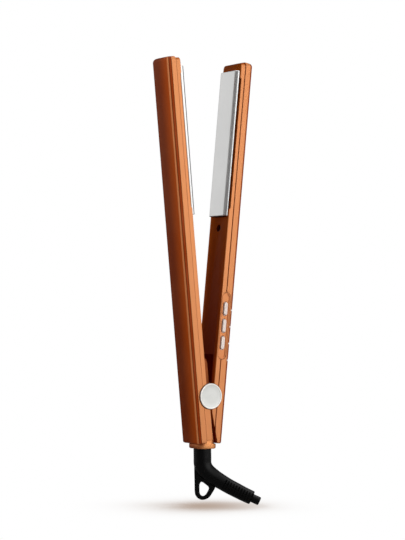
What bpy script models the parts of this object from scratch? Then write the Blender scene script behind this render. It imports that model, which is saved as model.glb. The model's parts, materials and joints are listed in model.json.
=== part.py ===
"""Slim hair straightening iron: two hinged arms with floating hot plates and a swivelling cord boot."""
import math

import bmesh
import bpy
from mathutils import Matrix

for old in list(bpy.data.objects):
    bpy.data.objects.remove(old)

MM = 0.001

# Overall sizes, in millimetres. Heights are measured from the hinge axis along an arm.
ARM_ABOVE = 253.6
ARM_BELOW = 34.4
ARM_WIDTH = 24.6
BACK_AT_TAIL = 13.6
BACK_AT_TIP = 12.6
INNER_FACE = 2.4
SEAM = 6.4
FIXED_LEAN = 5.5
MOVING_LEAN = 5.85

# Housing walls.
WALL = 1.5
INNER_WALL = 2.0
SEAM_GAP = 0.3
EDGE_BAND = 2.4
GROOVE = 0.5
EDGE_ROUND = 1.6
BACK_CROWN = 2.6
TIP_STEP = 1.3
TAIL_STEP = 1.9

# Hot plates.
PLATE_LENGTH = 110.5
PLATE_INSET = 0.5
PLATE_FROM_TIP = 7.5
PLATE_TOP = 0.1
PLATE_TILT = 0.28
BEVEL_WIDE = 3.0
BEVEL_DEEP = 1.1
RELIEF = 3.6
RELIEF_SHORT = 6.0
FLOAT_TRAVEL = 0.5

# Hinge.
PIN_RADIUS = 2.0
PIN_PLAY = 0.07
CAP_RADIUS = 9.9
CAP_THICK = 0.9
CAP_GAP = 0.3
LUG_RADIUS = 4.8
LUG_THICK = 2.5
LUG_FROM_SIDE = 1.7
BLOCK_TOP = 29.2
SPRING_RADIUS = 3.0
WIRE_RADIUS = 0.45
SPRING_HALF = 3.2

# Buttons.
PILL_MID = 53.3
PILL_LONG = 50.0
PILL_WIDE = 7.1
PILL_DEPTH = 7.0
BUTTON_LONG = 10.5
BUTTON_WIDE = 3.8
BUTTON_PITCH = 12.8
BUTTON_TRAVEL = 0.5
LENS_PITCH = 12.5
LENS_TOP = 65.5
LENS_RADIUS = 0.9

# Cord end.
BOOT_X = 0.5
BOOT_TURN = -33.0
BOOT_RADIUS = 6.45
FLANGE_DROP = 1.4
FLANGE_THICK = 3.5
SPIGOT_RADIUS = 3.5
CORD_RADIUS = 3.2
CORD_SHOWN = 6.2
LOOP_THICK = 2.4
SLOT_COUNT = 11
SLOT_WIDE = 1.1

CLEAR = 0.3
HALF = ARM_WIDTH / 2
FRAME_TAIL = ARM_BELOW - TAIL_STEP
PLATE_WIDTH = ARM_WIDTH - 2 * PLATE_INSET
PLATE_UNDER = INNER_FACE - FLOAT_TRAVEL - 0.4
LUG_OUT = HALF - LUG_FROM_SIDE
LUG_IN = LUG_OUT - LUG_THICK
BLOCK_HALF = LUG_IN - 0.7
FLANGE_TOP = -ARM_BELOW - FLANGE_DROP
FLANGE_LOW = FLANGE_TOP - FLANGE_THICK
SWIVEL_SEAT = FLANGE_LOW + 7.5
PLATE_HIGH = ARM_ABOVE - PLATE_FROM_TIP
PLATE_LOW = PLATE_HIGH - PLATE_LENGTH
SCREW_AT = PLATE_LOW - 8.6


def srgb(code):
    """A hex colour as linear components."""
    parts = []
    for k in (0, 2, 4):
        c = int(code[k:k + 2], 16) / 255
        parts.append(c / 12.92 if c <= 0.04045 else ((c + 0.055) / 1.055) ** 2.4)
    return parts


def material(name, code, rough, metal=0.0):
    """One Principled material."""
    mat = bpy.data.materials.new(name)
    mat.use_nodes = True
    node = mat.node_tree.nodes["Principled BSDF"]
    r, g, b = srgb(code)
    node.inputs["Base Color"].default_value = (r, g, b, 1.0)
    node.inputs["Roughness"].default_value = rough
    node.inputs["Metallic"].default_value = metal
    mat.diffuse_color = (r, g, b, 1.0)
    return mat


COPPER = material("copper_paint", "C9783F", 0.35, 0.5)
PLATE_METAL = material("satin_plate", "CDCDCD", 0.3, 0.9)
SILVER = material("silver_cap", "DCDDD9", 0.3, 0.7)
BUTTON_SILVER = material("button_silver", "E8D8D0", 0.3, 0.5)
LENS = material("lens_white", "F4F0EA", 0.2)
RUBBER = material("black_rubber", "121212", 0.6)
CORD = material("cord_black", "161616", 0.5)
STEEL = material("steel", "9A9A9C", 0.3, 1.0)
CERAMIC = material("ceramic", "E6E2DA", 0.6)
HEAT_PLASTIC = material("heat_plastic", "1E1C1B", 0.55)
SILICONE = material("silicone", "B8483A", 0.6)
BOARD_GREEN = material("board_green", "1F5A38", 0.5)
LEAD = material("lead_insulation", "D9D4C8", 0.5)
NYLON = material("nylon", "E0DCD2", 0.5)


def empty(name, where, turn, parent=None):
    """An empty that carries a group of pieces."""
    obj = bpy.data.objects.new(name, None)
    bpy.context.scene.collection.objects.link(obj)
    obj.location = [c * MM for c in where]
    obj.rotation_euler = [math.radians(a) for a in turn]
    obj.parent = parent
    return obj


def solid(verts, faces):
    """A closed mesh object from points in millimetres."""
    mesh = bpy.data.meshes.new("piece")
    mesh.from_pydata([[c * MM for c in v] for v in verts], [], faces)
    bm = bmesh.new()
    bm.from_mesh(mesh)
    bmesh.ops.recalc_face_normals(bm, faces=bm.faces)
    bm.to_mesh(mesh)
    bm.free()
    obj = bpy.data.objects.new("piece", mesh)
    bpy.context.scene.collection.objects.link(obj)
    return obj


def loft(rings):
    """A closed skin over equal rings of points, capped at both ends."""
    n = len(rings[0])
    verts = [p for ring in rings for p in ring]
    faces = [list(range(n))[::-1]]
    for k in range(len(rings) - 1):
        for i in range(n):
            j = (i + 1) % n
            faces.append([k * n + i, k * n + j, (k + 1) * n + j, (k + 1) * n + i])
    last = (len(rings) - 1) * n
    faces.append([last + i for i in range(n)])
    return solid(verts, faces)


def box(x0, x1, y0, y1, z0, z1):
    """A rectangular block."""
    low = [(x0, y0, z0), (x1, y0, z0), (x1, y1, z0), (x0, y1, z0)]
    return loft([low, [(x, y, z1) for x, y, z in low]])


def slab(outline, y0, y1):
    """A flat outline of (x, z) points made thick along Y."""
    return loft([[(x, y0, z) for x, z in outline], [(x, y1, z) for x, z in outline]])


def rod(start, end, radius, sides=24, end_radius=None):
    """A round bar between two points, with an optional second radius."""
    axis = [e - s for s, e in zip(start, end)]
    length = math.sqrt(sum(c * c for c in axis))
    d = [c / length for c in axis]
    ref = (0.0, 0.0, 1.0) if abs(d[2]) < 0.9 else (1.0, 0.0, 0.0)
    a = [d[1] * ref[2] - d[2] * ref[1], d[2] * ref[0] - d[0] * ref[2], d[0] * ref[1] - d[1] * ref[0]]
    size = math.sqrt(sum(c * c for c in a))
    a = [c / size for c in a]
    b = [d[1] * a[2] - d[2] * a[1], d[2] * a[0] - d[0] * a[2], d[0] * a[1] - d[1] * a[0]]
    rings = []
    for centre, r in ((start, radius), (end, end_radius or radius)):
        ring = []
        for k in range(sides):
            t = 2 * math.pi * k / sides
            ring.append([c + r * (math.cos(t) * p + math.sin(t) * q) for c, p, q in zip(centre, a, b)])
        rings.append(ring)
    return loft(rings)


def combine(obj, other, how):
    """Join another solid to this one, or cut it away."""
    mod = obj.modifiers.new("join", "BOOLEAN")
    mod.operation = how
    mod.solver = "EXACT"
    mod.object = other
    graph = bpy.context.evaluated_depsgraph_get()
    graph.update()
    mesh = bpy.data.meshes.new_from_object(obj.evaluated_get(graph))
    obj.modifiers.clear()
    before = obj.data
    obj.data = mesh
    bpy.data.meshes.remove(before)
    bpy.data.objects.remove(other)
    return obj


def cut(obj, *others):
    """Cut several solids away."""
    for other in others:
        combine(obj, other, "DIFFERENCE")
    return obj


def add(obj, *others):
    """Join several solids on."""
    for other in others:
        combine(obj, other, "UNION")
    return obj


def merge(objects):
    """Several apart solids as one cutter."""
    bm = bmesh.new()
    for obj in objects:
        bm.from_mesh(obj.data)
        bpy.data.objects.remove(obj)
    mesh = bpy.data.meshes.new("cutter")
    bm.to_mesh(mesh)
    bm.free()
    out = bpy.data.objects.new("cutter", mesh)
    bpy.context.scene.collection.objects.link(out)
    return out


def finish(obj, name, mat, parent):
    """Name a solid, give it its material and hang it on its carrier."""
    obj.name = name
    obj.data.name = name
    obj.data.materials.clear()
    obj.data.materials.append(mat)
    obj.parent = parent
    return obj


def pill(cx, cz, long, wide, y0, y1, steps=8):
    """A slot-shaped block that runs along Z."""
    r = wide / 2
    rise = long / 2 - r
    outline = []
    for k in range(steps + 1):
        t = math.pi * k / steps
        outline.append((cx + r * math.cos(t), cz + rise + r * math.sin(t)))
    for k in range(steps + 1):
        t = math.pi + math.pi * k / steps
        outline.append((cx + r * math.cos(t), cz - rise + r * math.sin(t)))
    return slab(outline, y0, y1)


def tube(points, radius, sides=8):
    """A round bar swept along a line of points."""
    rings = []
    side = None
    for k, p in enumerate(points):
        a = points[max(k - 1, 0)]
        b = points[min(k + 1, len(points) - 1)]
        d = [q - s for s, q in zip(a, b)]
        size = math.sqrt(sum(c * c for c in d))
        d = [c / size for c in d]
        if side is None:
            side = (0.0, 1.0, 0.0) if abs(d[1]) < 0.9 else (1.0, 0.0, 0.0)
        dot = sum(s * c for s, c in zip(side, d))
        side = [s - dot * c for s, c in zip(side, d)]
        size = math.sqrt(sum(c * c for c in side))
        side = [c / size for c in side]
        up = [d[1] * side[2] - d[2] * side[1], d[2] * side[0] - d[0] * side[2], d[0] * side[1] - d[1] * side[0]]
        r = radius[k] if isinstance(radius, list) else radius
        ring = []
        for i in range(sides):
            t = 2 * math.pi * i / sides
            ring.append([c + r * (math.cos(t) * m + math.sin(t) * n) for c, m, n in zip(p, side, up)])
        rings.append(ring)
    return loft(rings)


def back(z):
    """Distance of an arm's back from the hinge plane."""
    share = (z + ARM_BELOW) / (ARM_ABOVE + ARM_BELOW)
    return BACK_AT_TAIL + (BACK_AT_TIP - BACK_AT_TAIL) * share


def cover_ring(side, z, less_width=0.0, less_depth=0.0):
    """One section of a back cover: side faces, groove bands and a back that is flat between crowned edges."""
    h = HALF - less_width
    b = back(z) - less_depth
    half = [(SEAM, h), (b - EDGE_BAND, h), (b - EDGE_BAND + 0.2, h - GROOVE)]
    half.append((b - EDGE_ROUND - 0.15, h - GROOVE))
    for k in range(8):
        t = math.pi / 2 * k / 7
        depth = b - EDGE_ROUND + EDGE_ROUND * math.sin(t)
        half.append((depth, h - 0.2 - BACK_CROWN + BACK_CROWN * math.cos(t)))
    ring = [(side * u, -y, z) for u, y in half]
    ring += [(side * u, y, z) for u, y in reversed(half)]
    return ring


def frame_ring(side, z, less_width=0.0, less_depth=0.0):
    """One section of an inner frame."""
    h = HALF - less_width
    u = INNER_FACE + less_depth
    half = [(SEAM - SEAM_GAP, h), (u + 0.4, h), (u, h - 0.4)]
    ring = [(side * a, -y, z) for a, y in half]
    ring += [(side * a, y, z) for a, y in reversed(half)]
    return ring


def cover_body(side, open_tail):
    """A hollow back cover."""
    rows = [(-ARM_BELOW, 0.8, 1.2), (-ARM_BELOW + 0.6, 0.25, 0.35), (-ARM_BELOW + 1.6, 0.0, 0.0)]
    rows += [(ARM_ABOVE - 2.8, 0.0, 0.0), (ARM_ABOVE - 1.7, 0.2, 0.3), (ARM_ABOVE - 0.7, 0.7, 1.0)]
    rows += [(ARM_ABOVE, 1.7, 2.4)]
    shell = loft([cover_ring(side, z, w, d) for z, w, d in rows])
    low = -ARM_BELOW - 5.0 if open_tail else -ARM_BELOW + WALL
    high = ARM_ABOVE - 2.4
    rings = []
    for z in (low, high):
        b = back(z) - WALL
        h = HALF - WALL
        half = [(SEAM - 3.0, h), (b - 1.2, h), (b, h - 1.2)]
        ring = [(side * u, -y, z) for u, y in half]
        ring += [(side * u, y, z) for u, y in reversed(half)]
        rings.append(ring)
    return cut(shell, loft(rings))


def frame_body(side, tail, open_tail):
    """A hollow inner frame with its plate window, plate relief and screw seat."""
    tip = ARM_ABOVE - TIP_STEP
    rows = [(-tail, 0.3, 0.2), (-tail + 0.5, 0.0, 0.0), (tip - 2.2, 0.0, 0.0), (tip - 0.8, 0.45, 0.15)]
    rows += [(tip, 1.3, 0.5)]
    shell = loft([frame_ring(side, z, w, d) for z, w, d in rows])
    low = -tail - 5.0 if open_tail else -tail + WALL
    h = HALF - WALL
    a, b = sorted((side * (INNER_FACE + INNER_WALL), side * (SEAM + 2.0)))
    hollow = box(a, b, -h, h, low, tip - 1.4)
    boss = rod((side * (INNER_FACE + 1.0), 0, SCREW_AT), (side * 7.4, 0, SCREW_AT), 3.7)
    seat = rod((side * 0.5, 0, SCREW_AT), (side * 5.4, 0, SCREW_AT), 2.6)
    hole = rod((side * 4.5, 0, SCREW_AT), (side * 9.0, 0, SCREW_AT), 1.35, 16)
    a, b = sorted((0.0, side * (SEAM + 2.0)))
    w = HALF - 3.1
    window = box(a, b, -w, w, PLATE_LOW - 0.6, PLATE_HIGH + 0.6)
    reliefs = []
    z0 = PLATE_LOW + RELIEF_SHORT
    z1 = PLATE_HIGH - RELIEF_SHORT
    for way in (-1, 1):
        y0, y1 = sorted((way * (w - 0.5), way * (HALF + 1.0)))
        outline = [(0.0, z0 - 3.2), (0.0, z1 + 3.2), (side * RELIEF, z1), (side * RELIEF, z0)]
        reliefs.append(slab(outline, y0, y1))
    cut(shell, hollow)
    add(shell, boss)
    return cut(shell, seat, hole, window, *reliefs)


def screw(side):
    """The housing screw in its seat, with a cross slot."""
    head = rod((side * 4.2, 0, SCREW_AT), (side * 5.35, 0, SCREW_AT), 2.2, 20)
    shank = rod((side * 5.2, 0, SCREW_AT), (side * 10.6, 0, SCREW_AT), 1.2, 12)
    add(head, shank)
    a, b = sorted((side * 4.0, side * 4.7))
    return cut(head, box(a, b, -1.4, 1.4, SCREW_AT - 0.25, SCREW_AT + 0.25),
               box(a, b, -0.25, 0.25, SCREW_AT - 1.4, SCREW_AT + 1.4))


def cover_boss(side):
    """The post in a back cover that takes the housing screw."""
    end = side * (back(SCREW_AT) - WALL + 0.5)
    post = rod((side * 7.6, 0, SCREW_AT), (end, 0, SCREW_AT), 2.9, 20)
    return post, rod((side * 7.0, 0, SCREW_AT), (side * 10.9, 0, SCREW_AT), 1.3, 12)


def hot_plate(side):
    """A bevelled hot plate whose face leans in along the arm, and the body behind it that passes the window."""
    w = PLATE_WIDTH / 2
    rings = []
    for z in (PLATE_LOW, PLATE_HIGH):
        top = PLATE_TOP - z * math.tan(math.radians(PLATE_TILT))
        half = [(PLATE_UNDER, w), (top + BEVEL_DEEP, w), (top, w - BEVEL_WIDE)]
        ring = [(side * u, -y, z) for u, y in half]
        rings.append(ring + [(side * u, y, z) for u, y in reversed(half)])
    a, b = sorted((side * (PLATE_UNDER - 0.4), side * 4.6))
    w = HALF - 3.8
    body = box(a, b, -w, w, PLATE_LOW + 0.3, PLATE_HIGH - 0.3)
    return add(loft(rings), body)


def plate_group(side, prefix, arm, sensor):
    """A floating plate with its heater, clip and heat sensor, and the tray and pads behind it."""
    mid = (PLATE_LOW + PLATE_HIGH) / 2
    reach = PLATE_LENGTH / 2
    finish(hot_plate(side), prefix + "_plate", PLATE_METAL, arm)
    a, b = sorted((side * 4.7, side * 5.9))
    w = HALF - 6.1
    finish(box(a, b, -w, w, mid - reach * 0.72, mid + reach * 0.72), prefix + "_heater", CERAMIC, arm)
    a, b = sorted((side * 6.0, side * 6.5))
    w = HALF - 5.9
    finish(box(a, b, -w, w, mid - reach * 0.62, mid + reach * 0.62), prefix + "_heater_clip", STEEL, arm)
    w = HALF - 4.7
    fuse = rod((side * 5.7, w, mid - 6.0), (side * 5.7, w, mid + 6.0), 0.9, 12)
    finish(fuse, prefix + sensor, NYLON, arm)
    wide = HALF - 1.8
    floor = back(PLATE_HIGH + 3.0) - WALL - CLEAR
    half = [(4.7, wide), (floor - 1.4, wide), (floor, wide - 1.6)]
    section = [(side * u, -y) for u, y in half] + [(side * u, y) for u, y in reversed(half)]
    ends = (PLATE_LOW - 3.0, PLATE_HIGH + 2.2)
    tray = loft([[(x, y, z) for x, y in section] for z in ends])
    a, b = sorted((side * 3.0, side * (floor - 1.0)))
    cut(tray, box(a, b, -wide + 1.6, wide - 1.6, PLATE_LOW - 1.4, PLATE_HIGH + 0.9))
    finish(tray, prefix + "_plate_tray", HEAT_PLASTIC, arm)
    for tag, z in (("upper", mid + reach * 0.5), ("lower", mid - reach * 0.5)):
        pad = rod((side * 6.6, 0, z), (side * (floor - 1.1), 0, z), 3.0, 16)
        finish(pad, prefix + "_float_pad_" + tag, SILICONE, arm)


root = empty("flat_iron", (0, 0, 0), (0, 0, 0))
fixed_arm = empty("fixed_arm", (0, 0, 0), (0, -FIXED_LEAN, 0), root)
moving_arm = empty("moving_arm", (0, 0, 0), (0, MOVING_LEAN, 0), root)
boot_axis = empty("boot_axis", (BOOT_X, 0, 0), (0, 0, BOOT_TURN), root)

# Fixed arm, on the negative X side.
cover = cover_body(-1, True)
post, tap = cover_boss(-1)
add(cover, post)
cut(cover, tap)
finish(cover, "fixed_back_cover", COPPER, fixed_arm)

frame = frame_body(-1, FRAME_TAIL, True)
lips = []
for way in (-1, 1):
    y0, y1 = sorted((way * (HALF - WALL), way * HALF))
    lips.append(box(-INNER_FACE - 0.6, -1.1, y0, y1, -FRAME_TAIL + 0.2, -3.0))
add(frame, *lips)
cut(frame, box(-SEAM - 2.0, 0.5, -LUG_OUT - CLEAR, LUG_OUT + CLEAR, -5.6, 5.6))
cut(frame, box(-SEAM - 2.0, 0.5, 2.5 - HALF, HALF - 2.5, -FRAME_TAIL - 5.0, -15.0))
finish(frame, "fixed_inner_frame", COPPER, fixed_arm)
finish(screw(-1), "fixed_screw", STEEL, fixed_arm)
plate_group(-1, "fixed", fixed_arm, "_thermal_fuse")

# Moving arm, on the positive X side, with its tail cut back to a wedge.
slope = 0.305
wedge_from = -10.2
wedge_end = wedge_from - (11.0 - INNER_FACE) / slope


def wedge():
    """The part of the tail that is cut away so that the arm can open."""
    outline = [(-20.0, wedge_from), (INNER_FACE, wedge_from), (11.0, wedge_end), (11.0, -70.0), (-20.0, -70.0)]
    return slab(outline, -HALF - 5.0, HALF + 5.0)


cover = cover_body(1, True)
post, tap = cover_boss(1)
add(cover, post)
cut(cover, tap, wedge())
pill_hole = pill(PILL_DEPTH, PILL_MID, PILL_LONG + 0.3, PILL_WIDE + 0.3, -HALF - 1.0, -HALF + WALL + 0.6)
cut(cover, pill_hole)
lens_at = []
for k in range(4):
    z = LENS_TOP - k * LENS_PITCH
    u = back(z) - 0.6
    y = -HALF + 0.8
    lens_at.append((u, y, z))
holes = [rod((u - 3.0, y + 3.0, z), (u + 2.0, y - 2.0, z), LENS_RADIUS + 0.12, 12) for u, y, z in lens_at]
cut(cover, merge(holes))
finish(cover, "moving_back_cover", COPPER, moving_arm)

frame = frame_body(1, FRAME_TAIL, True)
lugs = []
for way in (-1, 1):
    y0, y1 = sorted((way * LUG_IN, way * LUG_OUT))
    outline = [(INNER_FACE + 1.2, -8.0), (INNER_FACE + 1.2, 8.0)]
    for k in range(17):
        t = math.radians(80 + 200 * k / 16)
        outline.append((LUG_RADIUS * math.cos(t), LUG_RADIUS * math.sin(t)))
    lugs.append(slab(outline, y0, y1))
cut(frame, box(-2.0, SEAM + 2.0, -BLOCK_HALF - 0.4, BLOCK_HALF + 0.4, -60.0, BLOCK_TOP + 2.4))
add(frame, *lugs)
cut(frame, wedge())
bore = rod((0, -HALF - 3.0, 0), (0, HALF + 3.0, 0), PIN_RADIUS + PIN_PLAY, 32)
cut(frame, bore)
pill_hole = pill(PILL_DEPTH, PILL_MID, PILL_LONG + 0.3, PILL_WIDE + 0.3, -HALF - 1.0, -HALF + WALL + 0.6)
cut(frame, pill_hole)
finish(frame, "moving_inner_frame", COPPER, moving_arm)
finish(screw(1), "moving_screw", STEEL, moving_arm)
plate_group(1, "moving", moving_arm, "_thermistor")

# Buttons on the moving arm's front side, in a sunk pill panel across the seam.
bezel = pill(PILL_DEPTH, PILL_MID, PILL_LONG, PILL_WIDE, -HALF + 0.1, -HALF + 1.75)
cut(bezel, pill(PILL_DEPTH, PILL_MID, PILL_LONG - 1.6, PILL_WIDE - 1.6, -HALF - 1.0, -HALF + 0.8))
button_z = [PILL_MID + BUTTON_PITCH, PILL_MID, PILL_MID - BUTTON_PITCH]
for z in button_z:
    cut(bezel, pill(PILL_DEPTH, z, BUTTON_LONG + 0.4, BUTTON_WIDE + 0.4, -HALF - 1.0, -HALF + 3.0))
finish(bezel, "button_bezel", COPPER, moving_arm)
plunger_tip = -HALF + 2.6 + BUTTON_TRAVEL + 0.1
board_face = plunger_tip + 1.6
board_low = PILL_MID - 29.0
board_high = PILL_MID + 31.0
board_deep = back(board_high) - WALL - 0.4
board = box(INNER_FACE + INNER_WALL + 0.4, board_deep, board_face, board_face + 1.2, board_low, board_high)
finish(board, "control_board", BOARD_GREEN, moving_arm)
for name, z in zip(("power", "plus", "minus"), button_z):
    cap = pill(PILL_DEPTH, z, BUTTON_LONG, BUTTON_WIDE, -HALF - 0.1, -HALF + 2.1)
    add(cap, pill(PILL_DEPTH, z, BUTTON_LONG + 1.6, BUTTON_WIDE + 1.0, -HALF + 2.0, -HALF + 2.6))
    holder = empty(name + "_button_axis", (PILL_DEPTH, -HALF, z), (0, 0, 0), moving_arm)
    cap.data.transform(Matrix.Translation((-PILL_DEPTH * MM, HALF * MM, -z * MM)))
    finish(cap, name + "_button", BUTTON_SILVER, holder)
    key = box(PILL_DEPTH - 1.9, PILL_DEPTH + 1.9, plunger_tip + 0.5, board_face - 0.05, z - 3.0, z + 3.0)
    add(key, rod((PILL_DEPTH, plunger_tip, z), (PILL_DEPTH, plunger_tip + 0.8, z), 1.0, 12))
    finish(key, name + "_switch", NYLON, moving_arm)
for k, (u, y, z) in enumerate(lens_at):
    lens = rod((u - 1.0, y + 1.0, z), (u + 0.32, y - 0.32, z), LENS_RADIUS, 12)
    finish(lens, "indicator_lens_%d" % (k + 1), LENS, moving_arm)
chip = box(PILL_DEPTH - 2.4, PILL_DEPTH + 2.4, board_face + 1.25, board_face + 3.2, PILL_MID - 8.0, PILL_MID + 8.0)
finish(chip, "power_module", HEAT_PLASTIC, moving_arm)
reach = PLATE_LOW - 3.4
path = [(PILL_DEPTH, board_face + 2.4, board_high - 6.0), (8.4, 3.0, board_high + 4.0), (9.4, 5.2, SCREW_AT - 9.0)]
path += [(9.4, 5.4, SCREW_AT), (9.0, 5.2, reach)]
finish(tube(path, 0.9), "moving_heater_lead", LEAD, moving_arm)

# Hinge: a block on the fixed arm carries the pin, the opening spring sits in its middle.
outline = [(-2.35, -7.2), (0.0, -5.4), (2.6, -4.6), (4.6, -2.6), (5.3, 0.0), (4.8, 2.6), (3.4, 5.4), (2.7, 8.0)]
outline += [(2.6, BLOCK_TOP - 5.0), (1.9, BLOCK_TOP - 2.2), (0.4, BLOCK_TOP - 0.4), (-1.2, BLOCK_TOP)]
outline += [(-2.35, BLOCK_TOP)]
block = slab(outline, -BLOCK_HALF, BLOCK_HALF)
cut(block, box(-9.0, 9.0, -SPRING_HALF, SPRING_HALF, -12.0, 5.8))
cut(block, rod((0, -HALF, 0), (0, HALF, 0), PIN_RADIUS + PIN_PLAY, 32))
finish(block, "hinge_block", COPPER, fixed_arm)
pin_end = HALF + CAP_GAP + CAP_THICK * 0.4
pin = rod((0, -pin_end, 0), (0, pin_end, 0), PIN_RADIUS, 32)
finish(pin, "hinge_pin", STEEL, fixed_arm)
for name, way in (("front", -1), ("back", 1)):
    y0 = way * (HALF + CAP_GAP)
    y1 = way * (HALF + CAP_GAP + CAP_THICK)
    cap = rod((0, y0, 0), (0, y1 - way * 0.4, 0), CAP_RADIUS, 48)
    add(cap, rod((0, y0 + way * 0.3, 0), (0, y1, 0), CAP_RADIUS, 48, CAP_RADIUS - 0.5))
    cut(cap, rod((0, y1 - way * 0.25, 0), (0, y1 + way, 0), CAP_RADIUS - 1.1, 48))
    cut(cap, rod((0, y0 - way, 0), (0, way * (pin_end + 0.1), 0), PIN_RADIUS + PIN_PLAY, 32))
    finish(cap, "hinge_cap_" + name, SILVER, fixed_arm)

open_turn = math.radians(FIXED_LEAN + MOVING_LEAN)
turns = 4
path = [(-11.2, -2.3, 11.0), (-6.0, -2.3, 5.0), (-3.5, -2.3, 2.0)]
steps = 14
total = turns + 0.5
count = int(steps * total)
for k in range(count + 1):
    t = math.pi + 2 * math.pi * total * k / count
    path.append((SPRING_RADIUS * math.cos(t), -2.3 + 4.6 * k / count, SPRING_RADIUS * math.sin(t)))
leg = [(3.5, 2.0), (6.0, 5.0), (11.2, 11.0)]
for u, z in leg:
    x = u * math.cos(open_turn) + z * math.sin(open_turn)
    path.append((x, 2.3, -u * math.sin(open_turn) + z * math.cos(open_turn)))
finish(tube(path, WIRE_RADIUS, 6), "torsion_spring", STEEL, fixed_arm)

# Supply end inside the fixed arm.
deep = back(58.0) - WALL - CLEAR
finish(box(-deep, -INNER_FACE - INNER_WALL - CLEAR, -6.5, 6.5, 38.0, 56.0), "terminal_block", NYLON, fixed_arm)
seat = SWIVEL_SEAT
path = [(-1.0, 0, seat + 5.6), (-2.6, 0, seat + 10.6), (-7.6, 0, seat + 17.0), (-8.4, 0, -6.0), (-8.4, 0, 37.8)]
finish(tube(path, 1.4), "supply_lead", LEAD, fixed_arm)
path = [(-8.4, 0, 56.2), (-8.8, 2.0, 70.0), (-9.4, 5.2, SCREW_AT - 9.0), (-9.4, 5.4, SCREW_AT), (-9.0, 5.2, reach)]
finish(tube(path, 0.9), "fixed_heater_lead", LEAD, fixed_arm)


def rounded(cx, half_x, half_y, r, z, less=0.0):
    """A rectangle with round corners at one height."""
    ring = []
    for sx, sy, start in ((1, 1, 0), (-1, 1, 90), (-1, -1, 180), (1, -1, 270)):
        for k in range(6):
            t = math.radians(start + 18 * k)
            x = cx + sx * (half_x - r) + (r - less) * math.cos(t)
            ring.append((x, sy * (half_y - r) + (r - less) * math.sin(t), z))
    return ring


# Collar: a tongue in the fixed arm's tail, an upright neck and a rounded flange with the swivel bore.
lean = math.radians(FIXED_LEAN)
wide = HALF - WALL - 0.4
tongue = box(-10.7, -INNER_FACE - INNER_WALL - CLEAR, -wide, wide, -ARM_BELOW + 0.8, -ARM_BELOW + 11.8)
tongue.data.transform(Matrix.Rotation(-lean, 4, "Y"))
wide = HALF - 3.0
neck = loft([rounded(BOOT_X - 1.4, 6.8, wide, 3.0, z) for z in (FLANGE_TOP - 0.8, SWIVEL_SEAT + 3.0)])
rows = [(FLANGE_LOW, 1.0), (FLANGE_LOW + 0.3, 0.45), (FLANGE_LOW + 1.0, 0.0), (FLANGE_TOP - 0.3, 0.0)]
rows += [(FLANGE_TOP, 0.3)]
flange = loft([rounded(BOOT_X - 0.4, 8.0, wide + 0.5, 5.0, z, less) for z, less in rows])
collar = add(flange, neck, tongue)
above = SWIVEL_SEAT + 13.0
cut(collar, rod((BOOT_X, 0, FLANGE_LOW - 2.0), (BOOT_X, 0, above), SPIGOT_RADIUS + 0.15, 32))
cut(collar, rod((BOOT_X, 0, SWIVEL_SEAT), (BOOT_X, 0, above), SPIGOT_RADIUS + 1.3, 32))
finish(collar, "cord_collar", COPPER, root)

# Cord boot: a bent sleeve with a hanging loop and slots, on its swivel spigot.
boot_top = FLANGE_LOW - CLEAR
line = [(0.0, boot_top), (0.0, -46.0), (0.0, -50.5), (1.1, -53.8), (3.6, -57.1), (9.1, -61.4), (15.6, -65.4)]
line += [(20.2, -67.9), (24.8, -70.3), (31.2, -73.6), (37.4, -76.5)]
girth = [0.0, 0.0, -0.15, -0.35, -0.6, -1.05, -1.35, -1.45, -1.5, -1.65, -1.8]
fine = []
radii = []
for k in range(len(line) - 1):
    p0 = line[max(k - 1, 0)]
    p1 = line[k]
    p2 = line[k + 1]
    p3 = line[min(k + 2, len(line) - 1)]
    for s in (0.0, 0.5):
        spot = []
        for a, b, c, d in zip(p0, p1, p2, p3):
            bend = (2 * a - 5 * b + 4 * c - d) * s * s + (3 * b - a - 3 * c + d) * s ** 3
            spot.append(b + 0.5 * ((c - a) * s + bend))
        fine.append(spot)
        radii.append(BOOT_RADIUS + girth[k] * (1 - s) + girth[k + 1] * s)
fine.append(list(line[-1]))
radii.append(BOOT_RADIUS + girth[-1])
boot = tube([(x, 0.0, z) for x, z in fine], radii, 24)
outer = [(-5.9, -51.5), (-5.9, -71.2), (-5.2, -74.2), (-3.4, -76.6), (-1.0, -77.9), (1.6, -77.9), (4.2, -76.9)]
outer += [(6.0, -75.4), (9.8, -69.2), (10.5, -64.0), (2.0, -54.0), (-1.0, -51.5)]
hole = [(-2.7, -66.6), (-2.7, -72.2), (-2.0, -74.0), (-0.6, -75.0), (1.0, -75.1), (2.7, -74.0), (4.6, -70.8)]
hole += [(5.1, -69.2), (4.6, -67.9), (-0.6, -64.2), (-1.7, -64.4)]
add(boot, slab(outer, -LOOP_THICK / 2, LOOP_THICK / 2))
cut(boot, slab(hole, -LOOP_THICK, LOOP_THICK))
tip = line[-1]
near = line[-2]
run = math.hypot(tip[0] - near[0], tip[1] - near[1])
ahead = ((tip[0] - near[0]) / run, (tip[1] - near[1]) / run)
slots = []
first = line[6]
pitch = math.atan2(tip[1] - first[1], tip[0] - first[0])
for k in range(SLOT_COUNT):
    share = 0.04 + 0.92 * k / (SLOT_COUNT - 1)
    x = first[0] + (tip[0] - first[0]) * share
    z = first[1] + (tip[1] - first[1]) * share
    for low, high in ((-3.7, -0.5), (0.5, 3.7)):
        for y0, y1 in ((-8.0, -CORD_RADIUS - 0.5), (CORD_RADIUS + 0.5, 8.0)):
            cutter = box(-SLOT_WIDE / 2, SLOT_WIDE / 2, y0, y1, low, high)
            cutter.data.transform(Matrix.Rotation(-pitch, 4, "Y"))
            cutter.data.transform(Matrix.Translation((x * MM, 0.0, z * MM)))
            slots.append(cutter)
cut(boot, merge(slots))
deep_end = (tip[0] - ahead[0] * 14.0, tip[1] - ahead[1] * 14.0)
past = (tip[0] + ahead[0] * 3.0, tip[1] + ahead[1] * 3.0)
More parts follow.
